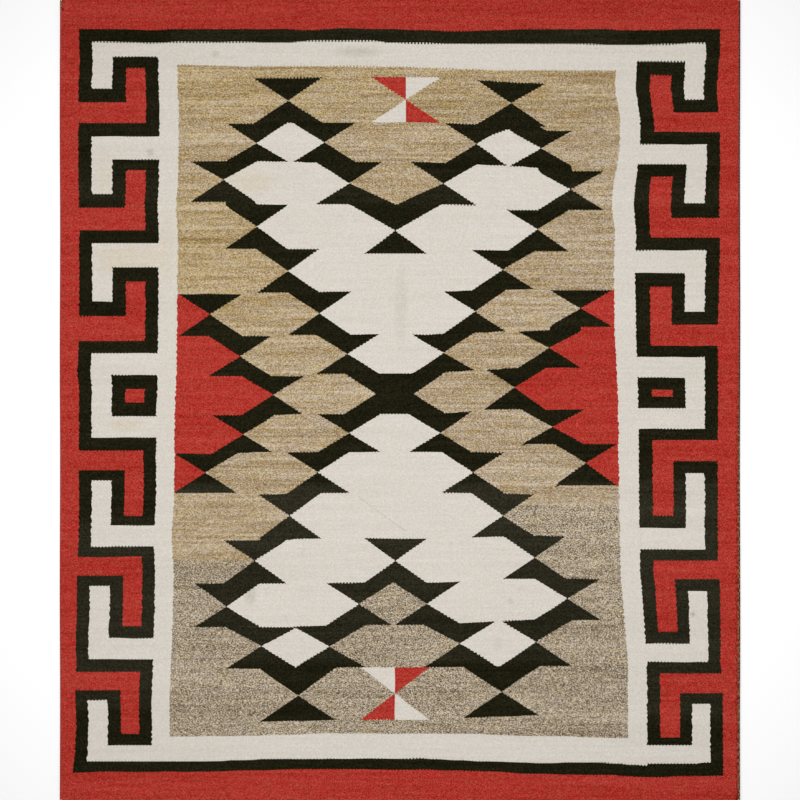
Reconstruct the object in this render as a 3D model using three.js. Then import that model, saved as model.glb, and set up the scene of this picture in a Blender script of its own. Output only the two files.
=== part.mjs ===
// Tapestry-woven flatweave rug with a twined cord down each side, lying flat.
//
// Millimetres, +Z up. +Y runs along the rug towards its upper end and +X points to its right.
// The origin is under the middle of the rug, on the surface that it lies on.

import * as THREE from "three";

// Driving dimensions of the rug
const RUG_WIDTH = 1306; // over both side cords, at the widest place
const RUG_LENGTH = 1540;
const CLOTH_THICKNESS = 3.6;
const CORD_DIAMETER = 2.4;
const FIT_GAP = 0.3; // between the cloth's edge and the cord beside it

// How far hand weaving draws each edge in from the straight line, and in how many waves
const EDGE_WAVES = {
  left: { depth: 0.7, waves: 3.4, start: 0.1 },
  right: { depth: 0.7, waves: 2.7, start: 0.35 },
  lower: { depth: 1.6, waves: 2.2, start: 0.2 },
  upper: { depth: 1.4, waves: 2.6, start: 0.6 },
};

// How far each corner of the cloth is drawn in along the end and along the side
const CORNER = { alongEnd: 4, alongSide: 5 };
const CORNER_STEPS = 5;

// The cloth's edges are round, because the weft turns back round the outermost warps
const EDGE_ROUND = 1.3;
const EDGE_ROUND_STEPS = 2;

const EDGE_STEP = 34; // along a wavy edge, between two points of the outline
const CORD_SIDES = 8;
const CORD_STEPS = 80;
const CORD_COLOURS = { left: 0x8f2f24, right: 0x341610 };
const CORD_END_INSET = 1; // each cord stops this far short of the cloth's ends

// Sizes worked out from those
const CLOTH_HALF_WIDTH = RUG_WIDTH / 2 - CORD_DIAMETER - FIT_GAP;
const HALF_LENGTH = RUG_LENGTH / 2;

// Distance that an edge is drawn in at a share of its length, from 0 to its wave's depth
function drawIn(edge, share) {
  const { depth, waves, start } = EDGE_WAVES[edge];
  return (depth * (1 - Math.cos(2 * Math.PI * (waves * share + start)))) / 2;
}

// Where a side edge of the cloth lies at height y; side is -1 for left and 1 for right
function sideX(side, y) {
  const edge = side < 0 ? "left" : "right";
  return side * (CLOTH_HALF_WIDTH - drawIn(edge, (y + HALF_LENGTH) / RUG_LENGTH));
}

// Where an end edge of the cloth lies at x; end is -1 for lower and 1 for upper
function endY(end, x) {
  const edge = end < 0 ? "lower" : "upper";
  const share = (x + CLOTH_HALF_WIDTH) / (2 * CLOTH_HALF_WIDTH);
  return end * (HALF_LENGTH - drawIn(edge, share));
}

// Points between two values, both ends included, no further apart than EDGE_STEP
function steps(from, to) {
  const count = Math.ceil(Math.abs(to - from) / EDGE_STEP);
  return Array.from({ length: count + 1 }, (_, i) => from + ((to - from) * i) / count);
}

// The centre of the quarter ellipse that rounds the corner at a side and an end
function cornerCentre(side, end) {
  const x = sideX(side, end * (HALF_LENGTH - CORNER.alongSide));
  const y = endY(end, side * (CLOTH_HALF_WIDTH - CORNER.alongEnd));
  return new THREE.Vector2(x - side * CORNER.alongEnd, y - end * CORNER.alongSide);
}

// Points round a corner without its two ends, from the side to the end edge
function cornerPoints(side, end) {
  const centre = cornerCentre(side, end);
  const points = [];
  for (let i = 1; i < CORNER_STEPS; i += 1) {
    const angle = ((Math.PI / 2) * i) / CORNER_STEPS;
    const across = side * CORNER.alongEnd * Math.cos(angle);
    const along = end * CORNER.alongSide * Math.sin(angle);
    points.push(new THREE.Vector2(centre.x + across, centre.y + along));
  }
  return points;
}

// A side edge from its lower to its upper corner
function sidePoints(side) {
  const heights = steps(cornerCentre(side, -1).y, cornerCentre(side, 1).y);
  return heights.map((y) => new THREE.Vector2(sideX(side, y), y));
}

// An end edge from its left to its right corner
function endPoints(end) {
  const places = steps(cornerCentre(-1, end).x, cornerCentre(1, end).x);
  return places.map((x) => new THREE.Vector2(x, endY(end, x)));
}

// The cloth's outline, anticlockwise seen from above
function clothOutline() {
  return new THREE.Shape([
    ...endPoints(-1),
    ...cornerPoints(1, -1).reverse(),
    ...sidePoints(1),
    ...cornerPoints(1, 1),
    ...endPoints(1).reverse(),
    ...cornerPoints(-1, 1).reverse(),
    ...sidePoints(-1).reverse(),
    ...cornerPoints(-1, -1),
  ]);
}

// The woven cloth: one flat sheet with round edges
function makeCloth() {
  const geometry = new THREE.ExtrudeGeometry(clothOutline(), {
    depth: CLOTH_THICKNESS - 2 * EDGE_ROUND,
    bevelEnabled: true,
    bevelThickness: EDGE_ROUND,
    bevelSize: EDGE_ROUND,
    bevelOffset: -EDGE_ROUND,
    bevelSegments: EDGE_ROUND_STEPS,
  });
  const material = new THREE.MeshStandardMaterial({
    color: 0xa9362c,
    roughness: 0.92,
    metalness: 0,
  });
  const mesh = new THREE.Mesh(geometry, material);
  mesh.position.z = EDGE_ROUND;
  return mesh;
}

// The cord down one side: it follows the cloth's wavy edge from end to end
function makeSideCord(side) {
  const middle = CORD_DIAMETER / 2;
  const low = -HALF_LENGTH + EDGE_WAVES.lower.depth + CORD_END_INSET;
  const high = HALF_LENGTH - EDGE_WAVES.upper.depth - CORD_END_INSET;
  const path = new THREE.CatmullRomCurve3(
    steps(low, high).map(
      (y) => new THREE.Vector3(sideX(side, y) + side * (FIT_GAP + middle), y, CLOTH_THICKNESS / 2),
    ),
  );
  const section = new THREE.Shape();
  for (let i = 0; i < CORD_SIDES; i += 1) {
    const angle = (2 * Math.PI * (i + 0.5)) / CORD_SIDES;
    const x = middle * Math.cos(angle);
    const y = middle * Math.sin(angle);
    if (i === 0) {
      section.moveTo(x, y);
    } else {
      section.lineTo(x, y);
    }
  }
  section.closePath();
  const geometry = new THREE.ExtrudeGeometry(section, {
    steps: CORD_STEPS,
    extrudePath: path,
    bevelEnabled: false,
  });
  const material = new THREE.MeshStandardMaterial({
    color: side < 0 ? CORD_COLOURS.left : CORD_COLOURS.right,
    roughness: 0.85,
    metalness: 0,
  });
  return new THREE.Mesh(geometry, material);
}

// The whole rug
function makeRug() {
  const rug = new THREE.Group();
  const cloth = makeCloth();
  cloth.name = "woven_cloth";
  rug.add(cloth);
  for (const [name, side] of [
    ["side_cord_left", -1],
    ["side_cord_right", 1],
  ]) {
    const cord = makeSideCord(side);
    cord.name = name;
    rug.add(cord);
  }
  return rug;
}

export default makeRug();
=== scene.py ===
"""Looks of a tapestry-woven wool rug with a key-fret border, lying flat on a floor.

Heights and widths in the tables are millimetres or warps. Blender's own lengths are metres.
+Y runs along the rug towards its upper end, +X points to its right, and it lies on z = 0.
"""

import math
from collections import namedtuple

import bpy
from bpy.props import FloatProperty, FloatVectorProperty, IntProperty, PointerProperty
from bpy.types import Operator, Panel, PropertyGroup
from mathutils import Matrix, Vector


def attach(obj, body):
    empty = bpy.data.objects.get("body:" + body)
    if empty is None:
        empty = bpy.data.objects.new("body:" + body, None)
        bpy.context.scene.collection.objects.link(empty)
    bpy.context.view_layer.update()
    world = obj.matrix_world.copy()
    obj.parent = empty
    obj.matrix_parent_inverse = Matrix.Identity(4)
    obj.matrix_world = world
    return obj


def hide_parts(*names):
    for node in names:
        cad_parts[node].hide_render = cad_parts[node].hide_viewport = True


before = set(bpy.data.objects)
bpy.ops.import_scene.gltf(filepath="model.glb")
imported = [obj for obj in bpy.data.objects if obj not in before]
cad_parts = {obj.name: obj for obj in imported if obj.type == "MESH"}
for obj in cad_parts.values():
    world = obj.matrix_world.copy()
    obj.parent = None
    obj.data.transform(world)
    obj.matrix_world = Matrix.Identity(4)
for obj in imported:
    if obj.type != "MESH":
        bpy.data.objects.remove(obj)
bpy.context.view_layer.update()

bl_info = {
    "name": "Tapestry-Woven Rug",
    "version": (1, 0, 0),
    "blender": (4, 5, 0),
    "location": "View3D > Sidebar > Rug",
    "description": "Weaves a wool rug with a key-fret border and twists its side cords",
    "category": "Object",
}

MM = 0.001


# Outline of the cloth, as the frame has it, in mm

RUG_WIDTH = 1306
RUG_LENGTH = 1540
CLOTH_THICKNESS = 3.6
CORD_DIAMETER = 2.4
FIT_GAP = 0.3
CLOTH_HALF_WIDTH = RUG_WIDTH / 2 - CORD_DIAMETER - FIT_GAP
HALF_LENGTH = RUG_LENGTH / 2
CORD_END_INSET = 1
CORD_WAIST = 0.82  # of its radius, where the cord's two strands meet
CORD_TURN_STEPS = 12  # sections in one turn of the cord

# How far hand weaving draws each edge in from the straight line, and in how many waves
Wave = namedtuple("Wave", "depth waves start")
EDGE_WAVES = {
    "left": Wave(0.7, 3.4, 0.1),
    "right": Wave(0.7, 2.7, 0.35),
    "lower": Wave(1.6, 2.2, 0.2),
    "upper": Wave(1.4, 2.6, 0.6),
}

# How far each corner of the cloth is drawn in along the end and along the side
Corner = namedtuple("Corner", "along_end along_side")
CORNER = Corner(4, 5)
CORNER_ROWS = 5
RIM_RINGS = 7  # rings round the half-round edge, its top and bottom ones among them
EDGE_ROUND = 1.5
WEFT_PRESS = 0.25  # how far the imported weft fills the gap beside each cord


# Chart of the pattern

BLACK, RED, WHITE, GROUND = range(4)
PATTERN_ASIDE = 1.4  # mm: how far left of the rug's middle the tables' places start from
PATTERN_STRETCH = 1.001  # how much larger the tables' places are than the rug's own
MIDDLE_LINE = -7.2  # mm: the middle line of the field's figure
NONE = 400  # warps: too far out to show, where a row has no outer pair

# Rows of stepped hourglasses from the lower end up. The height is in mm. The next four are how
# far each hourglass stands from the middle line, and then half its width, all in warps. The last
# three are the yarns inside the inner pair, between the pairs, and outside the outer pair.
Row = namedtuple(
    "Row",
    "height left_outer left_inner right_inner right_outer half_width inside between outside",
)
FIELD_FOOT = -614
FIELD_ROWS = [
    Row(101, NONE, 59, 64, NONE, 23, GROUND, GROUND, GROUND),
    Row(81, 81, 40, 39, 85, 22, GROUND, WHITE, GROUND),
    Row(81, 102, 22, 19, 104, 20, GROUND, WHITE, GROUND),
    Row(85, 85, 0, 0, 84, 19, WHITE, WHITE, GROUND),
    Row(89, NONE, 64, 65, NONE, 19, WHITE, GROUND, GROUND),
    Row(77, 115, 47, 47, 115, 19, WHITE, GROUND, RED),
    Row(73, 92, 28, 27, 95, 19, WHITE, GROUND, RED),
    Row(78, 74, 12, 11, 72, 19, BLACK, GROUND, RED),
    Row(75, 94, 29, 29, 93, 19, WHITE, GROUND, RED),
    Row(82, 112, 46, 48, 112, 19, WHITE, GROUND, RED),
    Row(82, NONE, 65, 65, NONE, 19, WHITE, GROUND, GROUND),
    Row(86, 84, 0, 0, 86, 19, WHITE, WHITE, GROUND),
    Row(81, 104, 28, 29, 106, 20, GROUND, WHITE, GROUND),
    Row(76, 84, 43, 49, 88, 19, GROUND, WHITE, GROUND),
    Row(87, NONE, 65, 70, NONE, 21, GROUND, GROUND, GROUND),
]
WIDE_STEP = {"row": 12, "within": 28, "half_width": 28}  # the upper half's middle step, in warps
PINWHEEL_MIDDLE = {"lower": -0.3, "upper": 6.3}  # warps: the red and white hourglasses

# How much higher than its row's place an hourglass is woven, in mm, at some heights, as
# measured on the photograph
LEFT_INNER_RISE = [
    (-640, -4), (-616, -4), (-566, -8), (-515, -4), (-432, -3), (-266, 0), (-223, -1), (-179, -5),
    (-140, 0), (208, -3), (290, -1), (640, -3),
]
RIGHT_INNER_RISE = [
    (-640, 10), (-608, 10), (-560, 6), (-512, 1), (-466, 20), (-426, 13), (-385, 8), (-345, 8),
    (-262, 7), (-223, -1), (-180, -4), (-100, -1), (-63, 2), (-20, 14), (95, 14), (130, 8), (171, 8),
    (211, 5), (250, 2), (287, -5), (375, -5), (449, -12), (490, -9), (570, -10), (611, -14),
    (640, -14),
]
LEFT_OUTER_RISE = [
    (-640, -4), (-516, -3), (-473, 0), (-435, -4), (-396, -5), (-353, -1), (-309, 0), (-269, -4),
    (-178, -1), (-140, -1), (-104, -3), (10, -2), (46, -5), (84, -5), (122, -3), (164, -3),
    (204, -5), (248, 0), (333, 0), (373, -2), (380, 4), (422, 6), (458, 1), (493, -2), (532, 0),
    (640, 0),
]
RIGHT_OUTER_RISE = [
    (-640, 2), (-507, 2), (-465, 8), (-421, 10), (-381, 10), (-343, 8), (-303, 6), (-261, 5),
    (-200, 8), (-164, 13), (-120, 18), (-85, 15), (-51, 12), (-18, 8), (24, 12), (62, 11),
    (101, 12), (131, 5), (142, 16), (175, 9), (211, 3), (284, -6), (328, -5), (364, -11),
    (404, -12), (438, -19), (450, -8), (483, -12), (518, -16), (640, -17),
]
# The inner rise grows from nothing to all between these distances from the middle line, in mm
INNER_RISE_STARTS, INNER_RISE_FULL = 60, 300
# and passes into the outer one this far in from the outer hourglass's middle, in warps
OUTER_RISE_STARTS, OUTER_RISE_FULL = 30, 16

# How much lower the figure's middle is woven than its rows' places, in mm, at some heights, how
# far out that reaches and over what distance it ends
MIDDLE_DROP = [(-770, 0), (260, 0), (281, 9), (325, 8), (376, 0), (770, 0)]
MIDDLE_DROP_REACH, MIDDLE_DROP_END = 110, 30

# Hooks of the key fret from the upper end down, in mm. Each hook's sizes start from its cap,
# which is its upper end in the rug's upper half and its lower end in the lower half.
Hook = namedtuple("Hook", "length cap tongue arm_start arm_end bar")
SOLID = 900  # past the end of any hook
LEFT_HOOKS = [
    Hook(197, 22, 61, 87, 127, 153),
    Hook(207, 21, 67, 93, 136, 161),
    Hook(208, 28, 66, 94, 142, 165),
    Hook(78, 26, SOLID, SOLID, SOLID, SOLID),
    Hook(210, 19, 86, 106, 144, 169),
    Hook(216, 23, 100, 120, 156, 176),
    Hook(206, 22, 87, 106, 141, 166),
]
RIGHT_HOOKS = [
    Hook(197, 27, 73, 98, 135, 159),
    Hook(209, 24, 75, 103, 141, 166),
    Hook(203, 27, 74, 99, 140, 162),
    Hook(55, 21, SOLID, SOLID, SOLID, SOLID),
    Hook(232, 24, 106, 129, 169, 191),
    Hook(222, 23, 101, 124, 160, 181),
    Hook(195, 15, 80, 100, 138, 160),
]
LEFT_FRET_HEAD, RIGHT_FRET_HEAD = 659, 650
FRET_MIDDLE = 3.5  # hooks from the head: the fret turns over halfway along the box

# Upright lines of the fret, in mm in from the red band, on the left and on the right
FRET_WIDTH = 188
OUTER_BAR = (25, 25)
TONGUE = (64, 61)
INNER_BAR = (90, 85)
RED_TONGUE = (127, 124)
HOOK_BACK = (152, 150)

# Where the red band ends and the field starts, in mm from the rug's middle, at some heights,
# as measured on the photograph
LEFT_BAND = [
    (-770, 627), (-707, 627), (-684, 623), (-630, 620), (-570, 622), (-500, 620), (-450, 621),
    (-407, 619), (-338, 619), (-250, 615), (25, 615), (54, 619), (80, 616), (330, 614), (376, 616),
    (590, 616), (650, 614), (770, 616),
]
RIGHT_BAND = [
    (-770, 622), (-560, 621), (-500, 617), (-370, 616), (-300, 612), (130, 612), (305, 616),
    (376, 614), (440, 616), (515, 616), (600, 609), (640, 613), (680, 616), (770, 616),
]
LEFT_FIELD = [
    (-770, 440), (-580, 441), (-430, 435), (-340, 433), (-268, 437), (-190, 432), (-15, 431),
    (30, 428), (300, 425), (376, 428), (410, 425), (560, 423), (600, 426), (770, 426),
]
RIGHT_FIELD = [
    (-770, 439), (-500, 439), (-407, 431), (-338, 425), (-250, 423), (0, 420), (134, 414),
    (238, 412), (320, 414), (376, 408), (422, 413), (480, 423), (538, 424), (600, 414), (630, 416),
    (770, 416),
]

# Level lines of the frame and field: their heights in mm at places across the rug, as measured
# on the photograph
TOP_BAR_OUTER = [
    (-660, 712), (-530, 712), (-480, 710), (-425, 712), (-220, 712), (-175, 710), (-110, 714),
    (10, 711), (100, 708), (220, 711), (400, 712), (450, 709), (570, 712), (660, 712),
]
TOP_BAR_INNER = [
    (-660, 688), (-545, 687), (-480, 685), (-420, 687), (-210, 686), (-175, 689), (-45, 689),
    (-25, 686), (70, 684), (350, 683), (440, 681), (500, 682), (562, 685), (660, 685),
]
FIELD_TOP = [
    (-660, 644), (-360, 643), (-300, 640), (-80, 641), (10, 639), (100, 636), (193, 633), (660, 633),
]
LOWER_BAR_INNER = [
    (-660, -694), (-340, -693), (-250, -689), (40, -688), (175, -694), (270, -697), (370, -695),
    (450, -700), (500, -702), (545, -700), (590, -696), (660, -696),
]
LOWER_BAR_OUTER = [
    (-660, -716), (-560, -714), (-375, -714), (-280, -711), (-180, -709), (50, -710), (180, -713),
    (230, -717), (320, -719), (400, -720), (450, -723), (500, -724), (545, -722), (660, -721),
]
FIELD_FOOT_LINE = [
    (-660, -647), (-370, -646), (-230, -643), (-140, -640), (10, -640), (135, -641), (220, -644),
    (320, -646), (400, -649), (660, -649),
]

# Below these heights, in mm, the tan ground is woven on in grey-brown, left and right
GREY_FROM = (-309, -202)

# How much deeper the saw-teeth of level colour changes are at some heights, in beads
TEETH_DEPTH = [(-770, 0), (560, 0), (640, 0.5), (695, 0.6), (700, 0), (770, 0)]


# Yarns

def linear(red, green, blue):
    """An 8-bit display colour as Blender's linear one."""
    shares = (value / 255 for value in (red, green, blue))
    return tuple(s / 12.92 if s <= 0.04045 else ((s + 0.055) / 1.055) ** 2.4 for s in shares)


def lighter(colour, steps):
    """A linear colour made lighter by so many 8-bit display steps of red, green and blue."""
    shown = (12.92 * c if c <= 0.0031308 else 1.055 * c ** (1 / 2.4) - 0.055 for c in colour)
    return linear(*(min(max(255 * s + step, 0), 255) for s, step in zip(shown, steps)))


# How far a yarn's red, green and blue go either way, in 8-bit display steps, and the share that
# its flecks and its long streaks have in that
Heather = namedtuple("Heather", "reach flecks streaks")
HEATHERS = {
    "black": Heather((32, 30, 27), 0.38, 0.35),
    "red": Heather((30, 30, 30), 0.56, 0.45),
    "white": Heather((14, 15, 18), 0.45, 0.40),
    "tan": Heather((43, 48, 58), 0.66, 0.95),
    "grey": Heather((68, 68, 68), 0.78, 0.55),
}
HUES = [(1.09, 1.04, 0.87), (1, 1, 1), (0.91, 0.96, 1.13)]  # from warm to cool fleeces
WHITE_HUE_SHARE = 0.35  # how much of those the white takes
PAINTED_GROOVE_SHADE, WHITE_PAINTED_GROOVE_SHADE = 0.14, 0.06  # painted shade: how much darker the base colour is painted in the grooves between beads, where shade falls
HAIR_WIDTH, HAIR_HEIGHT = 1.6, 0.8  # mm
BEAD_SHARE, HAIR_SHARE, SPUN_SHARE = 0.3, 1.7, 0.15  # of the flecks
BATCH_SHARE = 0.6  # of the streaks
FIBRE_DEPTH = 0.12  # mm
MATT_SHEEN = 0.05  # the specular level of wool

# Where the black is an older, faded yarn, as lines of its share over the height in mm
FADED_IN_FIELD = [
    (-770, 0), (-506, 0), (-500, 0.5), (-385, 0.6), (-290, 0.85), (-250, 1), (-165, 1), (-155, 0),
    (376, 0), (384, 0.35), (410, 0.35), (418, 0), (670, 0), (680, 0.3), (770, 0.3),
]
FADED_ON_LEFT = [
    (-770, 0), (-600, 0), (-590, 0.5), (-400, 0.75), (-260, 0.7), (-232, 0.5), (-225, 0), (376, 0),
    (384, 0.35), (420, 0.35), (428, 0), (770, 0),
]
FADED_ON_RIGHT = [
    (-770, 0), (-608, 0), (-600, 0.6), (-380, 0.75), (-200, 0.9), (-160, 0.8), (-150, 0), (376, 0),
    (384, 0.2), (420, 0.2), (428, 0), (770, 0),
]

# How golden the tan is over the height in mm, at the field's left and right edges
GOLD_ON_LEFT = [(-770, 0), (-288, 0.4), (-96, 0.4), (96, 0.6), (288, 1), (480, 0.5), (600, 0.95), (770, 1)]
GOLD_ON_RIGHT = [(-770, 0), (-96, 0), (96, 0.2), (288, 0.15), (480, 0.27), (672, 0.7), (770, 0.7)]

# Where the right edge is worn, as a line over the height in mm, and where that begins across it
WORN_EDGE = [(-770, 1), (-60, 0.8), (40, 0.3), (120, 0), (770, 0)]
WORN_FROM = 645
GOLD_FROM = WORN_FROM + 4.6
JOIN_SHADE = (0.30, 0.27, 0.22, 1)
DASH_SHADE = (0.30, 0.22, 0.20, 1)

# Marks of age, and one band of painted shade: the middle and half size of each in mm, how strong it is,
# and its colour
Mark = namedtuple("Mark", "x y half_width half_height strength stain")
OCHRE, SMOKE_AND_SHADE = "ochre", "smoke_and_shade"
MARKS = [
    Mark(-515, 268, 95, 36, 0.55, OCHRE),
    Mark(-446, 290, 20, 120, 0.35, OCHRE),
    Mark(-570, 430, 24, 60, 0.35, OCHRE),
    Mark(-525, -48, 45, 16, 0.50, OCHRE),
    Mark(-288, 418, 60, 30, 0.45, OCHRE),
    # painted shade: a faint grey band across the whole upper end, where the light falls off towards it
    Mark(0, 750, 900, 60, 0.14, SMOKE_AND_SHADE),
    Mark(-478, 476, 9, 10, 0.40, SMOKE_AND_SHADE),
    Mark(-80, 668, 55, 14, 0.30, SMOKE_AND_SHADE),
    Mark(4, 180, 16, 90, 0.16, SMOKE_AND_SHADE),
    Mark(-430, 60, 40, 420, 0.12, OCHRE),
    Mark(-354, 665, 10, 8, 0.28, SMOKE_AND_SHADE),
    Mark(-286, -376, 14, 22, 0.35, SMOKE_AND_SHADE),
    Mark(226, -316, 8, 6, 0.50, OCHRE),
    Mark(234, -362, 9, 6, 0.20, SMOKE_AND_SHADE),
    Mark(214, -386, 8, 7, 0.25, SMOKE_AND_SHADE),
    Mark(190, -468, 12, 14, 0.18, SMOKE_AND_SHADE),
    Mark(564, -411, 6, 6, 0.60, SMOKE_AND_SHADE),
]

# Lines where the weaver's sections meet on the slant, from x, y to x, y in mm, and their strength
JOIN_HALF_WIDTH = 1.1
Join = namedtuple("Join", "from_x from_y to_x to_y strength")
JOINS = [
    Join(-76, -188, 14, -253, 0.20),
    Join(-322, 634, -406, 556, 0.30),
    Join(-406, 556, -424, 540, 0.30),
    Join(-350, 610, -300, 640, 0.20),
    Join(-344, -160, -420, -230, 0.25),
    Join(330, 520, 352, 555, 0.25),
    Join(230, -70, 300, -140, 0.25),
    Join(-648, 770, -641, 761, 1),
    Join(-649, 753, -644, 748, 1),
]


class RugSizes(PropertyGroup):
    """Sizes of the cloth and its cords."""

    warp_pitch: FloatProperty(
        name="Warp pitch", description="From one warp to the next", default=3.175 * MM, unit="LENGTH"
    )
    bead_height: FloatProperty(
        name="Bead height", description="Of one weft over one warp", default=2.2 * MM, unit="LENGTH"
    )
    rib_height: FloatProperty(
        name="Rib height", description="Of each covered warp", default=0.3 * MM, unit="LENGTH"
    )
    grid_step: FloatProperty(
        name="Grid step", description="Between points of the cloth", default=8 * MM, unit="LENGTH"
    )
    ripple_height: FloatProperty(
        name="Ripple height", description="Most that the cloth lifts", default=1.4 * MM, unit="LENGTH"
    )
    cord_lay: FloatProperty(
        name="Cord lay", description="Length of one turn of a cord", default=11 * MM, unit="LENGTH"
    )
    strand_sides: IntProperty(
        name="Strand sides", description="Flat sides round a strand", default=7, min=5
    )


def wool_colour(name, description, shown):
    """A colour that a user may change, from its 8-bit display colour."""
    default = linear(*shown)
    return FloatVectorProperty(name=name, description=description, subtype="COLOR", default=default)


class YarnColours(PropertyGroup):
    """Colours of the yarns."""

    black: wool_colour("Black", "Of the fret", (21, 20, 5))
    crimson: wool_colour("Crimson", "Cooler red wool", (171, 44, 37))
    brick: wool_colour("Brick red", "Warmer red wool", (165, 52, 39))
    white: wool_colour("White", "Undyed wool", (208, 201, 191))
    faded: wool_colour("Faded black", "Older black", (39, 37, 25))
    gold: wool_colour("Golden tan", "Upper left ground", (165, 141, 95))
    tan: wool_colour("Tan", "Upper ground", (169, 150, 122))
    grey: wool_colour("Grey-brown", "Lower ground", (148, 133, 110))
    ochre: wool_colour("Ochre stain", "Yellow mark", (247, 240, 219))
    # also the colour of the painted shade across the upper end
    smoke_and_shade: wool_colour("Grey stain", "Grey mark", (190, 186, 172))
    cord_red: wool_colour("Red cord", "Of the left side", (170, 52, 38))
    cord_brown: wool_colour("Brown cord", "Of the right side", (52, 14, 11))
    olive: wool_colour("Olive", "Upper end of the left cord", (104, 84, 46))
    old_gold: wool_colour("Old gold", "Worn right edge", (150, 112, 58))
    floor: wool_colour("Floor", "Pale floor", (252, 252, 252))


class StudioSizes(PropertyGroup):
    """Camera and lights."""

    lens: FloatProperty(
        name="Lens", description="Focal length", default=85, unit="CAMERA"
    )
    view_width: FloatProperty(
        name="View width", description="What the picture spans", default=1.5345, unit="LENGTH"
    )
    overhead_power: FloatProperty(
        name="Overhead light", description="Power of the light by the camera", default=318, unit="POWER"
    )
    slant_strength: FloatProperty(
        name="Slanting light", description="Strength of the light from the upper left", default=0.85
    )
    room_light: FloatProperty(
        name="Room light", description="Even light from all round", default=0.443
    )


# Shader arithmetic

class Wire:
    """A socket of a material's nodes. Arithmetic on it adds the nodes that work it out."""

    def __init__(self, tree, socket=None):
        self.tree = tree
        self.socket = socket

    def node(self, kind, settings=(), values=(), outputs=0):
        """Adds a node: its settings first, then the values or links of its sockets."""
        made = self.tree.nodes.new(kind)
        for name, setting in dict(settings).items():
            if name == "stops":
                set_stops(made.color_ramp, *setting)
            elif name == "line":
                set_line(made.mapping, setting)
            else:
                setattr(made, name, setting)
        for place, value in dict(values).items():
            if isinstance(value, Wire):
                self.tree.links.new(value.socket, made.inputs[place])
            else:
                made.inputs[place].default_value = value
        if isinstance(outputs, tuple):
            return tuple(Wire(self.tree, made.outputs[o]) for o in outputs)
        return Wire(self.tree, made.outputs[outputs])

    def math(self, operation, *numbers):
        """A Math node on the given numbers or wires."""
        return self.node("ShaderNodeMath", {"operation": operation}, enumerate(numbers))

    def __add__(self, other):
        return self.math("ADD", self, other)

    def __sub__(self, other):
        return self.math("SUBTRACT", self, other)

    def __rsub__(self, other):
        return self.math("SUBTRACT", other, self)

    def __mul__(self, other):
        return self.math("MULTIPLY", self, other)

    def __truediv__(self, other):
        return self.math("DIVIDE", self, other)

    def __lt__(self, other):
        return self.math("LESS_THAN", self, other)

    def __gt__(self, other):
        return self.math("GREATER_THAN", self, other)

    def __abs__(self):
        return self.math("ABSOLUTE", self)

    def __floor__(self):
        return self.math("FLOOR", self)

    def __mod__(self, other):
        return self.math("FLOORED_MODULO", self, other)

    __radd__ = __add__
    __rmul__ = __mul__

    def least(self, other):
        """The smaller of two numbers."""
        return self.math("MINIMUM", self, other)

    def most(self, other):
        """The larger of two numbers."""
        return self.math("MAXIMUM", self, other)

    def choose(self, off, on):
        """A number that goes from off to on as this mask goes from 0 to 1."""
        values = {0: self, 2: off, 3: on}
        return self.node("ShaderNodeMix", {"data_type": "FLOAT"}, values)

    def blend(self, off, on, how="MIX"):
        """A colour that goes from off to on as this mask goes from 0 to 1."""
        values = {0: self, 6: off, 7: on}
        return self.node("ShaderNodeMix", {"data_type": "RGBA", "blend_type": how}, values, 2)

    def shades(self, *colours):
        """A colour ramp with its colours evenly spaced."""
        stops = [(i / (len(colours) - 1), (*c, 1)) for i, c in enumerate(colours)]
        return self.node("ShaderNodeValToRGB", {"stops": ("LINEAR", stops)}, {0: self})

    def chart(self, rows):
        """The four numbers in the row of a table that this wire gives the number of."""
        stops = [(i / len(rows), row) for i, row in enumerate(rows)]
        place = (self + 0.5) / len(rows)
        settings = {"stops": ("CONSTANT", stops)}
        colour, fourth = self.node("ShaderNodeValToRGB", settings, {0: place}, (0, 1))
        return (*colour.node("ShaderNodeSeparateColor", {}, {0: colour}, (0, 1, 2)), fourth)

    def follow(self, points):
        """The height of a line drawn through (place, height) points, at the place of this wire."""
        places, heights = zip(*points)
        first, length = places[0], places[-1] - places[0]
        low, rise = min(heights), max(heights) - min(heights)
        line = [((place - first) / length, (height - low) / rise) for place, height in points]
        share = (self - first) / length
        return self.node("ShaderNodeFloatCurve", {"line": line}, {"Value": share}) * rise + low

    def point(self, *numbers):
        """A point from up to three numbers or wires."""
        return self.node("ShaderNodeCombineXYZ", {}, enumerate(numbers))

    def noise(self, detail=0, outputs=0):
        """Smooth noise at this point, with lumps about 1 across."""
        values = {"Vector": self, "Scale": 1, "Detail": detail}
        return self.node("ShaderNodeTexNoise", {"noise_dimensions": "2D"}, values, outputs)

    def random(self):
        """A random number from 0 to 1 for each place, with nothing shared between places."""
        return self.node("ShaderNodeTexWhiteNoise", {"noise_dimensions": "2D"}, {"Vector": self})


def set_stops(ramp, interpolation, stops):
    """Gives a colour ramp its stops, as (place, colour with alpha)."""
    ramp.interpolation = interpolation
    while len(ramp.elements) > 1:
        ramp.elements.remove(ramp.elements[-1])
    ramp.elements[0].position, ramp.elements[0].color = stops[0]
    for place, colour in stops[1:]:
        ramp.elements.new(place).color = colour


def set_line(mapping, line):
    """Draws a curve through points from 0 to 1, straight from each to the next."""
    points = mapping.curves[0].points
    points[0].location, points[-1].location = line[0], line[-1]
    for place, height in line[1:-1]:
        points.new(place, height)
    for point in points:
        point.handle_type = "VECTOR"
    mapping.update()


def new_material(name):
    """An empty material: its principled shader, and a wire to start its nodes from."""
    material = bpy.data.materials.new(name)
    material.use_nodes = True
    tree = material.node_tree
    tree.nodes.clear()
    shader = tree.nodes.new("ShaderNodeBsdfPrincipled")
    output = tree.nodes.new("ShaderNodeOutputMaterial")
    tree.links.new(shader.outputs[0], output.inputs[0])
    return material, shader, Wire(tree)


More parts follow.
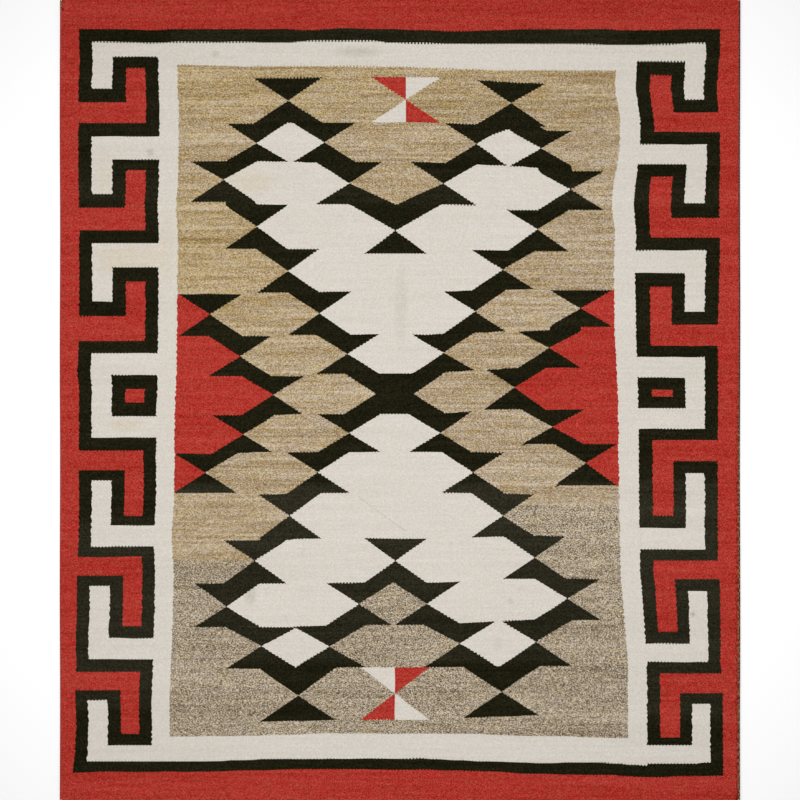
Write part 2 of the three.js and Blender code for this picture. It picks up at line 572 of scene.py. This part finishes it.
def object_place(start):
    """x, y and z on the object, in mm."""
    place = start.node("ShaderNodeTexCoord", {}, {}, 3)
    return [part * 1000 for part in place.node("ShaderNodeSeparateXYZ", {}, {0: place}, (0, 1, 2))]


# Weave and pattern of the cloth

def woven_bead(x, y, sizes):
    """The bead of weft that a place lies on: its middle, where in it the place is, its pass, its shed.

    The wefts cover the warps and pass over every other one, so beads on neighbouring warps are
    half a bead apart.
    """
    pitch, height = sizes.warp_pitch / MM, sizes.bead_height / MM
    warp = math.floor(x / pitch)
    shed = warp % 2
    bead = math.floor(y / height + shed / 2)
    middle_x = (warp + 0.5) * pitch
    middle_y = (bead + 0.5 - shed / 2) * height
    across = (x - middle_x) * (2 / pitch)
    along = (y - middle_y) * (2 / height)
    return middle_x, middle_y, across, along, bead * 2 - shed, shed


def hand_wander(x, y):
    """How far the small unevenness of hand weaving moves a place."""
    lump, reach = 70, 0.9
    shift = (x.point(x / lump, y / lump)).noise(detail=1, outputs=1)
    off_x, off_y, _ = shift.node("ShaderNodeSeparateColor", {}, {0: shift}, (0, 1, 2))
    return (off_x - 0.5) * (2 * reach), (off_y - 0.5) * (2 * reach)


def shed_teeth(x, y, shed, height):
    """How far up or down a change of yarn lies on every other warp, which gives it its saw-teeth."""
    deep = x.point(x / 60, y / 30).noise() * 1.2 - 0.25
    return (shed - 0.5) * (deep + y.follow(TEETH_DEPTH)) * height


def turning_place(x, y):
    """How far sideways the weft turns back from an upright line, which leaves it finely uneven."""
    lump_x, lump_y, reach = 90, 6, 5.4
    return (x.point(x / lump_x, y / lump_y).noise(detail=1) - 0.5) * reach


def row_place(height):
    """Which row of the field a height lies in, and how far up it, as one number."""
    heads = [FIELD_FOOT]
    for row in FIELD_ROWS:
        heads.append(heads[-1] + row.height)
    return height.follow([(head, number) for number, head in enumerate(heads)])


def row_middles(place, on_right):
    """How far out a row's inner and outer hourglasses stand, in warps."""
    left_outer, left_inner, right_inner, right_outer = math.floor(place).chart(
        [(r.left_outer, r.left_inner, r.right_inner, r.right_outer) for r in FIELD_ROWS]
    )
    return on_right.choose(left_inner, right_inner), on_right.choose(left_outer, right_outer)


def figure_yarn(place, warps, on_right):
    """The yarn of the stepped hourglasses and of the ground round them."""
    number = math.floor(place)
    opening = abs((place - number) * 2 - 1)
    inner, outer = row_middles(place, on_right)
    inside, between, outside, half_width = number.chart(
        [(r.inside, r.between, r.outside, r.half_width) for r in FIELD_ROWS]
    )
    at_wide_step = (abs(place - WIDE_STEP["row"]) < 0.5) * (warps < WIDE_STEP["within"])
    reach = at_wide_step.choose(half_width, WIDE_STEP["half_width"]) * opening
    in_rows = abs(place - len(FIELD_ROWS) / 2) < len(FIELD_ROWS) / 2
    figure = (abs(warps - inner).least(abs(warps - outer)) < reach) * in_rows
    ground = (warps < outer).choose(outside, between)
    ground = (warps < inner).choose(ground, inside)
    return figure.choose(ground, BLACK)


def pinwheel_yarn(yarn, place, warps):
    """The yarn with the red and white hourglasses in the middle of the first and the last row."""
    upper = place > len(FIELD_ROWS) / 2
    share = place - math.floor(place)
    half_width = FIELD_ROWS[-1].half_width
    aside = warps - upper.choose(PINWHEEL_MIDDLE["lower"], PINWHEEL_MIDDLE["upper"])
    off_middle = abs(place - len(FIELD_ROWS) / 2)
    in_end_row = (off_middle > len(FIELD_ROWS) / 2 - 1) * (off_middle < len(FIELD_ROWS) / 2)
    pinwheel = (abs(aside) < abs(share * 2 - 1) * half_width) * in_end_row
    quarter = (aside * (share - 0.5) * (upper - 0.5) < 0).choose(WHITE, RED)
    return pinwheel.choose(yarn, quarter)


def field_yarn(x, y, pitch):
    """The yarn of the field at a place. Each hourglass is woven at a height of its own."""
    aside = x - MIDDLE_LINE
    on_right, distance = aside > 0, abs(aside)
    raised = (distance - INNER_RISE_STARTS) / (INNER_RISE_FULL - INNER_RISE_STARTS)
    inner_rise = on_right.choose(y.follow(LEFT_INNER_RISE), y.follow(RIGHT_INNER_RISE))
    outer_rise = on_right.choose(y.follow(LEFT_OUTER_RISE), y.follow(RIGHT_OUTER_RISE))
    in_middle = ((MIDDLE_DROP_REACH - distance) / MIDDLE_DROP_END).most(0).least(1)
    height = y + y.follow(MIDDLE_DROP) * in_middle
    inner_rise = inner_rise * raised.most(0).least(1)

    warps = distance / pitch
    _, outer = row_middles(row_place(height - inner_rise), on_right)
    share = (warps - outer + OUTER_RISE_STARTS) / (OUTER_RISE_STARTS - OUTER_RISE_FULL)
    share = share.most(0).least(1)
    place = row_place(height - inner_rise - (outer_rise - inner_rise) * share)
    return pinwheel_yarn(figure_yarn(place, warps, on_right), place, aside / pitch)


def hook_rows(hooks):
    """Each hook's sizes as shares of its length."""
    return [
        (h.cap / h.length, h.tongue / h.length, h.arm_start / h.length, h.arm_end / h.length)
        for h in hooks
    ]


def fret_yarn(inset, y, on_right):
    """The yarn of the key fret, at a distance in from the red band and a height."""
    places = []
    for head, hooks in ((LEFT_FRET_HEAD, LEFT_HOOKS), (RIGHT_FRET_HEAD, RIGHT_HOOKS)):
        heights = [head]
        for hook in hooks:
            heights.append(heights[-1] - hook.length)
        spare = 80  # mm, so that the line runs on past the first and the last hook
        line = [(heights[0] + spare, -spare / hooks[0].length)]
        line += [(height, number) for number, height in enumerate(heights)]
        line += [(heights[-1] - spare, len(hooks) + spare / hooks[-1].length)]
        places.append(y.follow(line[::-1]))
    place = on_right.choose(*places)
    from_end = FRET_MIDDLE - abs(place - FRET_MIDDLE)
    share = from_end - math.floor(from_end)

    row = math.floor(place) + on_right * len(LEFT_HOOKS)
    cap, tongue, arm_start, arm_end = row.chart(hook_rows(LEFT_HOOKS + RIGHT_HOOKS))
    bar, _, _, _ = row.chart([(h.bar / h.length, 0, 0, 1) for h in LEFT_HOOKS + RIGHT_HOOKS])

    past = {}
    for name, line in (
        ("outer_bar", OUTER_BAR),
        ("tongue", TONGUE),
        ("inner_bar", INNER_BAR),
        ("red_tongue", RED_TONGUE),
        ("hook_back", HOOK_BACK),
    ):
        past[name] = inset > on_right.choose(*line)
    in_arm = (share > arm_start) * (share < arm_end)
    in_red_tongue = (share > cap) * (share < arm_end) * past["inner_bar"]
    red = in_arm.most(in_red_tongue) * (1 - past["red_tongue"])
    in_gap = (share > bar) * past["outer_bar"]
    in_tongue = (share < tongue) * past["outer_bar"] * (1 - past["tongue"])
    white = past["hook_back"].most(in_gap).most(in_tongue)
    return red.choose(white.choose(BLACK, WHITE), RED)


def pattern_yarn(x, y, upright_x, pitch):
    """The yarn at a place on the rug: the red edge, the black frame, the fret or the field.

    The upright lines are met at upright_x, because the weft turns back between two warps there.
    """
    on_right = x > 0
    band = on_right.choose(y.follow(LEFT_BAND), y.follow(RIGHT_BAND))
    field_edge = on_right.choose(y.follow(LEFT_FIELD), y.follow(RIGHT_FIELD))
    inset = band - abs(upright_x)
    scaled = inset * FRET_WIDTH / (band - field_edge)

    in_field = (scaled > FRET_WIDTH) * (y > x.follow(FIELD_FOOT_LINE)) * (y < x.follow(FIELD_TOP))
    yarn = fret_yarn(scaled, y, on_right)
    yarn = (scaled > FRET_WIDTH).choose(yarn, WHITE)
    yarn = in_field.choose(yarn, field_yarn(x, y, pitch))
    in_bar = (y > x.follow(TOP_BAR_INNER)).most(y < x.follow(LOWER_BAR_INNER))
    yarn = in_bar.choose(yarn, BLACK)
    in_edge = (y > x.follow(TOP_BAR_OUTER)).most(y < x.follow(LOWER_BAR_OUTER)).most(inset < 0)
    return in_edge.choose(yarn, RED)


def heathered(name, flecks, streaks, *colours):
    """The colours of a yarn from dark to light, as its flecks and streaks have them."""
    heather = HEATHERS[name]
    tone = flecks * heather.flecks + streaks * heather.streaks + 0.5
    down = [-step for step in heather.reach]
    return [
        tone.shades(lighter(colour, down), tuple(colour), lighter(colour, heather.reach))
        for colour in colours
    ]


def batch_shares(x, y):
    """How faded the black is and how golden the tan is at a place."""
    on_right = x > 0
    in_frets = abs(x) > (LEFT_FIELD[0][1] + RIGHT_FIELD[0][1]) / 2
    frets = on_right.choose(y.follow(FADED_ON_LEFT), y.follow(FADED_ON_RIGHT))
    faded = in_frets.choose(y.follow(FADED_IN_FIELD), frets)
    to_right = (x / 840 + 0.5).most(0).least(1)
    golden = to_right.choose(y.follow(GOLD_ON_LEFT), y.follow(GOLD_ON_RIGHT))
    return faded, golden


def aged_and_shaded(x, y, cloth, colours):
    """The cloth's colour with its stain marks, a band of painted shade across its upper end, and its
    slanting joins.
    """
    cloud = x.point(x / 14, y / 8).noise(detail=2) * 1.2 + 0.4
    stains_and_shade = {OCHRE: x * 0, SMOKE_AND_SHADE: x * 0}
    for mark in MARKS:
        across, along = (x - mark.x) / mark.half_width, (y - mark.y) / mark.half_height
        inside = (1 - (across * across + along * along)).most(0)
        stains_and_shade[mark.stain] = stains_and_shade[mark.stain].most(inside * mark.strength)
    cloth = (stains_and_shade[OCHRE] * cloud).blend(cloth, tuple_colour(colours.ochre), "MULTIPLY")
    # grey stains, and the painted shade across the upper end
    cloth = (stains_and_shade[SMOKE_AND_SHADE] * cloud).blend(cloth, tuple_colour(colours.smoke_and_shade), "MULTIPLY")

    gaps = x * 0
    for join in JOINS:
        run_x, run_y = join.to_x - join.from_x, join.to_y - join.from_y
        length = math.hypot(run_x, run_y)
        share = ((x - join.from_x) * run_x + (y - join.from_y) * run_y) / length**2
        off = abs((x - join.from_x) * run_y - (y - join.from_y) * run_x) / length
        on_line = (off < JOIN_HALF_WIDTH) * (share > 0) * (share < 1)
        gaps = gaps.most(on_line * join.strength)
    return gaps.blend(cloth, JOIN_SHADE, "MULTIPLY")


def tuple_colour(colour):
    """A colour with its alpha."""
    return (*colour, 1)


def frayed(x, y, cloth, colours):
    """The cloth's colour with its right edge worn: dark dashes, and old gold that shows through."""
    worn = y.follow(WORN_EDGE)
    dash = x.point(x / 2.2, y / 6).noise(detail=1) + (x - WORN_FROM) / 20
    dashes = (dash > 0.66) * (x > WORN_FROM) * worn * 0.8
    cloth = dashes.blend(cloth, DASH_SHADE, "MULTIPLY")
    bare = (x.point(y / 9, 3).noise(detail=1) > 0.5) * (x > GOLD_FROM) * worn
    return (bare * 0.8).blend(cloth, tuple_colour(colours.old_gold))


def tapestry_wool(context):
    """The cloth's material: its pattern in weft beads, with each yarn's own unevenness and painted shade
    in the grooves between beads.
    """
    material, shader, start = new_material("tapestry_wool")
    sizes, colours = context.scene.rug_sizes, context.scene.yarn_colours
    x, y, _ = object_place(start)
    x, y = x * PATTERN_STRETCH + PATTERN_ASIDE, y * PATTERN_STRETCH
    bead_x, bead_y, across, along, weft, shed = woven_bead(x, y, sizes)
    off_x, off_y = hand_wander(bead_x, bead_y)
    pattern_x = (bead_x + x) / 2 + off_x
    pattern_y = (bead_y + y) / 2 + off_y + shed_teeth(bead_x, bead_y, shed, sizes.bead_height / MM)
    upright_x = x + off_x + turning_place(x, y)
    yarn = pattern_yarn(pattern_x, pattern_y, upright_x, sizes.warp_pitch / MM)

    bead = start.point(bead_x, bead_y).random() - 0.5
    hairs = start.point(math.floor(x / HAIR_WIDTH), math.floor(y / HAIR_HEIGHT)).random() - 0.5
    spun = start.point(bead_x / 9, weft * 3.7).noise(detail=1) - 0.5
    flecks = bead * BEAD_SHARE + hairs * HAIR_SHARE + spun * SPUN_SHARE
    streak = start.point(bead_x / 150, bead_y / 4.5).noise(detail=2) - 0.5
    batch = start.point(bead_x / 900, bead_y / 26).noise(detail=1) - 0.5
    streaks = streak + batch * BATCH_SHARE

    faded, golden = batch_shares(bead_x, pattern_y)
    hue = start.point(bead_x / 40, bead_y / 6 + 50).noise(detail=2)
    red = (hue * 2.5 - 0.75).most(0).least(1).blend(
        *heathered("red", flecks, streaks, colours.crimson, colours.brick)
    )
    white, = heathered("white", flecks, streaks, colours.white)
    black, old_black = heathered("black", flecks, streaks, colours.black, colours.faded)
    tan, gold = heathered("tan", flecks, streaks, colours.tan, colours.gold)
    grey, = heathered("grey", flecks, streaks, colours.grey)
    golden = golden + (start.point(bead_x / 60, bead_y / 5).noise(detail=2) - 0.5) * 2.4
    ground = (bead_y < (x > 0).choose(*GREY_FROM)).blend(golden.blend(tan, gold), grey)
    fleece = hue.shades(*HUES)
    ground = (x * 0 + 1).blend(ground, fleece, "MULTIPLY")
    white = (x * 0 + WHITE_HUE_SHARE).blend(white, fleece, "MULTIPLY")
    cloth = (yarn > 0.5).blend(faded.blend(black, old_black), red)
    cloth = (yarn > 1.5).blend(cloth, white)
    cloth = (yarn > 2.5).blend(cloth, ground)

    cloth = aged_and_shaded(bead_x, bead_y, cloth, colours)
    cloth = frayed(x, y, cloth, colours)

    rib = 1 - across * across
    bead_round = 1 - along * along * along * along
    relief = rib * bead_round
    # painted shade: the base colour is darkened towards black in the grooves between ribs and beads, where
    # shade falls; the bump gives their relief
    painted_shade_in_grooves = (1 - relief) * (1 - relief)
    deep = (abs(yarn - WHITE) < 0.5).choose(PAINTED_GROOVE_SHADE, WHITE_PAINTED_GROOVE_SHADE)
    with_painted_groove_shade = (painted_shade_in_grooves * deep).blend(cloth, (0, 0, 0, 1))
    fibre = start.point(x / 0.9, y / 0.35).noise(detail=2)
    height = relief * (sizes.rib_height / MM) + fibre * FIBRE_DEPTH

    start.tree.links.new(with_painted_groove_shade.socket, shader.inputs["Base Color"])
    roughness = 0.96 - fibre * 0.12
    start.tree.links.new(roughness.socket, shader.inputs["Roughness"])
    bump = start.node("ShaderNodeBump", {}, {"Height": height, "Distance": MM, "Strength": 0.8})
    start.tree.links.new(bump.socket, shader.inputs["Normal"])
    shader.inputs["Specular IOR Level"].default_value = MATT_SHEEN
    return material


# The cloth's mesh

def draw_in(edge, share):
    """How far an edge is drawn in at a share of its length, in mm."""
    wave = EDGE_WAVES[edge]
    return wave.depth * (1 - math.cos(2 * math.pi * (wave.waves * share + wave.start))) / 2


def side_x(side, y):
    """Where a side edge lies at height y; side is -1 for left and 1 for right."""
    edge = "left" if side < 0 else "right"
    return side * (CLOTH_HALF_WIDTH - draw_in(edge, (y + HALF_LENGTH) / RUG_LENGTH))


def end_y(end, x):
    """Where an end edge lies at x; end is -1 for lower and 1 for upper."""
    edge = "lower" if end < 0 else "upper"
    share = (x + CLOTH_HALF_WIDTH) / (2 * CLOTH_HALF_WIDTH)
    return end * (HALF_LENGTH - draw_in(edge, share))


def outline_x(side, y, inset):
    """Where the outline lies at height y, drawn in by inset, with its corner rounded."""
    end = 1 if y > 0 else -1
    corner_y = HALF_LENGTH - CORNER.along_side
    if abs(y) <= corner_y:
        return side_x(side, y) - side * inset
    middle = side_x(side, end * corner_y) - side * CORNER.along_end
    round_x, round_y = CORNER.along_end - inset, CORNER.along_side - inset
    share = min((abs(y) - corner_y) / round_y, 1)
    return middle + side * round_x * math.sqrt(1 - share * share)


def row_heights(step, inset):
    """Heights of the mesh's rows, closer together where the corners are round."""
    deep = CORNER.along_side
    corner = [deep * math.sin(math.pi / 2 * i / CORNER_ROWS) for i in range(1, CORNER_ROWS + 1)]
    middle = HALF_LENGTH - deep
    count = math.ceil(2 * middle / step)
    heights = [middle * (2 * i / count - 1) for i in range(count + 1)]
    shrink = (deep - inset) / deep
    upper = [middle + rise * shrink for rise in corner]
    return [-height for height in reversed(upper)] + heights + upper


def lift(x, y, height):
    """How far the cloth stands off the floor in its soft ripples, in the unit of height."""
    ripple = math.sin(x / 97 + 0.6 * math.sin(y / 160)) * math.sin(y / 133 + x / 420 + 1)
    fine = math.sin(x / 41 + y / 87) * math.sin(y / 59 - x / 130)
    return height * (0.5 + 0.36 * ripple + 0.14 * fine)


def make_cloth_mesh(sizes):
    """The cloth: one closed sheet with a half-round edge, lying in very soft ripples."""
    step, ripple = sizes.grid_step / MM, sizes.ripple_height / MM
    heights = row_heights(step, EDGE_ROUND)
    columns = math.ceil(2 * CLOTH_HALF_WIDTH / step)
    half = CLOTH_THICKNESS / 2
    inset = EDGE_ROUND - WEFT_PRESS

    flat = []
    for y in heights:
        left, right = outline_x(-1, y, inset), outline_x(1, y, inset)
        end = 1 if y > 0 else -1
        for i in range(columns + 1):
            x = left + (right - left) * i / columns
            drawn = abs(end_y(end, x)) / HALF_LENGTH
            flat.append((x, y * drawn))

    last_row = len(heights) - 1
    per_row = columns + 1
    rim = list(range(per_row))
    rim += [row * per_row + columns for row in range(1, last_row + 1)]
    rim += [last_row * per_row + i for i in range(columns - 1, -1, -1)]
    rim += [row * per_row for row in range(last_row - 1, 0, -1)]

    def placed(x, y, level):
        return (x * MM, y * MM, (lift(x, y, ripple) + half + level) * MM)

    points = [placed(x, y, half) for x, y in flat] + [placed(x, y, -half) for x, y in flat]
    faces = []
    for row in range(last_row):
        for i in range(columns):
            a = row * per_row + i
            quad = (a, a + 1, a + per_row + 1, a + per_row)
            faces.append(quad)
            faces.append(tuple(corner + len(flat) for corner in reversed(quad)))

    rings = [rim]
    for ring in range(1, RIM_RINGS - 1):
        turn = math.pi * (0.5 - ring / (RIM_RINGS - 1))
        start = len(points)
        for i, corner in enumerate(rim):
            before, after = flat[rim[i - 1]], flat[rim[(i + 1) % len(rim)]]
            along = Vector((after[0] - before[0], after[1] - before[1])).normalized()
            x, y = flat[corner]
            out = EDGE_ROUND * math.cos(turn)
            points.append(placed(x + along.y * out, y - along.x * out, half * math.sin(turn)))
        rings.append(range(start, start + len(rim)))
    rings.append([corner + len(flat) for corner in rim])
    for upper, lower in zip(rings, rings[1:]):
        for i in range(len(rim)):
            j = (i + 1) % len(rim)
            faces.append((upper[i], lower[i], lower[j], upper[j]))

    mesh = bpy.data.meshes.new("tapestry_cloth")
    mesh.from_pydata(points, [], faces)
    mesh.shade_smooth()
    mesh.validate()
    return mesh


# The side cords

def cord_wool(name, colour, bare, bare_from, bare_to):
    """One strand's material: twisted wool, with another colour in places between two heights."""
    material, shader, start = new_material(name)
    x, y, z = object_place(start)
    worn = start.point(y / 9, x / 40).noise(detail=2)
    in_places = (worn > 0.5) * (y > bare_from) * (y < bare_to)
    tone = start.point(y / 2.1, z / 0.6).noise(detail=2)
    yarn = tone.shades([c * 0.6 for c in colour], [c * 1.4 for c in colour])
    old = tone.shades([c * 0.6 for c in bare], [c * 1.4 for c in bare])
    start.tree.links.new(in_places.blend(yarn, old).socket, shader.inputs["Base Color"])
    start.tree.links.new((0.95 - tone * 0.2).socket, shader.inputs["Roughness"])
    fibre = start.point(y / 0.5 + z / 0.8, x / 0.3).noise(detail=1)
    bump = start.node("ShaderNodeBump", {}, {"Height": fibre, "Distance": 0.2 * MM, "Strength": 0.8})
    start.tree.links.new(bump.socket, shader.inputs["Normal"])
    shader.inputs["Specular IOR Level"].default_value = MATT_SHEEN
    return material


def make_cord_mesh(side, sizes):
    """A cord of two strands laid round each other, along one side of the cloth."""
    lay, sides = sizes.cord_lay / MM, sizes.strand_sides * 2
    ripple = sizes.ripple_height / MM
    radius = CORD_DIAMETER / 2
    low = -HALF_LENGTH + EDGE_WAVES["lower"].depth + CORD_END_INSET
    high = HALF_LENGTH - EDGE_WAVES["upper"].depth - CORD_END_INSET
    count = round((high - low) / lay * CORD_TURN_STEPS)

    points, faces, strand_of = [], [], []
    for i in range(count + 1):
        y = low + (high - low) * i / count
        middle = side_x(side, y) + side * (FIT_GAP + radius)
        level = CLOTH_THICKNESS / 2 + lift(middle, y, ripple)
        turn = side * 2 * math.pi * y / lay
        for k in range(sides):
            angle = 2 * math.pi * (k + 0.5) / sides
            out = radius * (CORD_WAIST + (1 - CORD_WAIST) * math.cos(angle) ** 2)
            x = middle + out * math.cos(angle + turn)
            z = level + out * math.sin(angle + turn)
            points.append((x * MM, y * MM, z * MM))
    for i in range(count):
        for k in range(sides):
            a, b = i * sides + k, i * sides + (k + 1) % sides
            faces.append((a, a + sides, b + sides, b))
            strand_of.append(int(sides / 4 <= (k + 1) % sides < sides * 3 / 4))
    faces.append(tuple(range(sides)))
    faces.append(tuple(range((count + 1) * sides - 1, count * sides - 1, -1)))
    strand_of += [0, 0]

    mesh = bpy.data.meshes.new("side_cord")
    mesh.from_pydata(points, [], faces)
    mesh.polygons.foreach_set("material_index", strand_of)
    mesh.shade_smooth()
    mesh.validate()
    return mesh


# Stage

FLOOR_REACH = 12  # m
SENSOR = 36 * MM
OVERHEAD_AT, OVERHEAD_ANGLE, OVERHEAD_SOFTNESS = (-0.1, 0.1, 3.8), 56, 0.5
SLANT_FROM, SLANT_SPREAD = (-2.2, 2.4, 2.8), 25


def floor_paint(colour):
    """The floor's material: matt and pale, with the faintest unevenness."""
    material, shader, start = new_material("pale_floor")
    x, y, _ = object_place(start)
    tone = start.point(x / 240, y / 240).noise(detail=2)
    shade = tone.shades([c * 0.99 for c in colour], tuple(colour))
    start.tree.links.new(shade.socket, shader.inputs["Base Color"])
    shader.inputs["Roughness"].default_value = 0.9
    shader.inputs["Specular IOR Level"].default_value = 0.1
    return material


def add_light(context, kind, name, place, power):
    """A light that points at the middle of the rug."""
    light = bpy.data.lights.new(name, kind)
    light.energy = power
    holder = bpy.data.objects.new(name, light)
    holder.location = place
    holder.rotation_euler = (-Vector(place)).to_track_quat("-Z", "Y").to_euler()
    context.collection.objects.link(holder)
    return light


def need_node(name):
    """Stops the script where the frame has no node of that name."""
    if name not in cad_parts:
        raise RuntimeError(f"the frame has no node named {name}")
    return name


class RUG_OT_light_studio(Operator):
    """Lays the pale floor and sets up the camera and the soft light"""

    bl_idname = "rug.light_studio"
    bl_label = "Light the Studio"

    def execute(self, context):
        scene, studio = context.scene, context.scene.studio_sizes
        camera = bpy.data.cameras.new("camera")
        camera.lens = studio.lens
        camera.sensor_width = SENSOR / MM
        camera.clip_end = 50
        holder = bpy.data.objects.new("camera", camera)
        away = studio.view_width * studio.lens * MM / SENSOR
        holder.location = (0, 0, CLOTH_THICKNESS * MM + away)
        context.collection.objects.link(holder)
        scene.camera = holder

        sides = ((-1, -1), (1, -1), (1, 1), (-1, 1))
        corners = [(x * FLOOR_REACH, y * FLOOR_REACH, 0) for x, y in sides]
        mesh = bpy.data.meshes.new("floor")
        mesh.from_pydata(corners, [], [(0, 1, 2, 3)])
        mesh.materials.append(floor_paint(scene.yarn_colours.floor))
        floor = bpy.data.objects.new("floor", mesh)
        context.collection.objects.link(floor)

        overhead = add_light(context, "SPOT", "overhead", OVERHEAD_AT, studio.overhead_power)
        overhead.spot_size, overhead.spot_blend = math.radians(OVERHEAD_ANGLE), 1
        overhead.shadow_soft_size = OVERHEAD_SOFTNESS
        slant = add_light(context, "SUN", "slant", SLANT_FROM, studio.slant_strength)
        slant.angle = math.radians(SLANT_SPREAD)
        world = bpy.data.worlds.new("room")
        world.use_nodes = True
        world.node_tree.nodes["Background"].inputs["Color"].default_value = (1, 1, 1, 1)
        world.node_tree.nodes["Background"].inputs["Strength"].default_value = studio.room_light
        scene.world = world
        scene.view_settings.view_transform = "Standard"
        return {"FINISHED"}


class RUG_OT_weave_cloth(Operator):
    """Weaves the cloth: the sheet, its ripples and its pattern"""

    bl_idname = "rug.weave_cloth"
    bl_label = "Weave the Cloth"

    def execute(self, context):
        mesh = make_cloth_mesh(context.scene.rug_sizes)
        mesh.materials.append(tapestry_wool(context))
        cloth = bpy.data.objects.new("tapestry_cloth", mesh)
        context.collection.objects.link(cloth)
        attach(cloth, "root")
        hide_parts(need_node("woven_cloth"))
        return {"FINISHED"}


class RUG_OT_twist_side_cords(Operator):
    bl_idname = "rug.twist_side_cords"
    bl_label = "Twist the Side Cords"

    def execute(self, context):
        sizes, colours = context.scene.rug_sizes, context.scene.yarn_colours
        red, brown = tuple(colours.cord_red), tuple(colours.cord_brown)
        strands = {
            "left": (
                cord_wool("red_strand", red, colours.olive, 752, 770),
                cord_wool("deep_red_strand", lighter(red, (-14, -6, -4)), colours.olive, 752, 770),
            ),
            "right": (
                cord_wool("brown_strand", brown, brown, -770, 0),
                cord_wool("worn_strand", lighter(brown, (14, 2, 1)), colours.old_gold, -770, -60),
            ),
        }
        for name, side, slot in (("left", -1, "red_cord"), ("right", 1, "brown_cord")):
            mesh = make_cord_mesh(side, sizes)
            for strand in strands[name]:
                mesh.materials.append(strand)
            cord = bpy.data.objects.new(f"twisted_cord_{name}", mesh)
            context.collection.objects.link(cord)
            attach(cord, "root")
            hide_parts(need_node(f"side_cord_{name}"))
        return {"FINISHED"}


class RUG_PT_making(Panel):
    """Steps and sizes of the rug, in the 3D view's sidebar"""

    bl_idname = "RUG_PT_making"
    bl_label = "Tapestry-Woven Rug"
    bl_space_type = "VIEW_3D"
    bl_region_type = "UI"
    bl_category = "Rug"

    def draw(self, context):
        for step in STEPS:
            self.layout.operator(step.bl_idname)
        for group in (context.scene.rug_sizes, context.scene.yarn_colours, context.scene.studio_sizes):
            box = self.layout.box()
            for name in group.__annotations__:
                box.prop(group, name)


GROUPS = {"rug_sizes": RugSizes, "yarn_colours": YarnColours, "studio_sizes": StudioSizes}
STEPS = (RUG_OT_light_studio, RUG_OT_weave_cloth, RUG_OT_twist_side_cords)
CLASSES = (*GROUPS.values(), *STEPS, RUG_PT_making)


def register():
    for item in CLASSES:
        bpy.utils.register_class(item)
    for name, group in GROUPS.items():
        setattr(bpy.types.Scene, name, PointerProperty(type=group))


def unregister():
    for name in GROUPS:
        delattr(bpy.types.Scene, name)
    for item in reversed(CLASSES):
        bpy.utils.unregister_class(item)


def main():
    register()
    bpy.ops.rug.light_studio()
    bpy.ops.rug.weave_cloth()
    bpy.ops.rug.twist_side_cords()


if __name__ == "__main__":
    main()
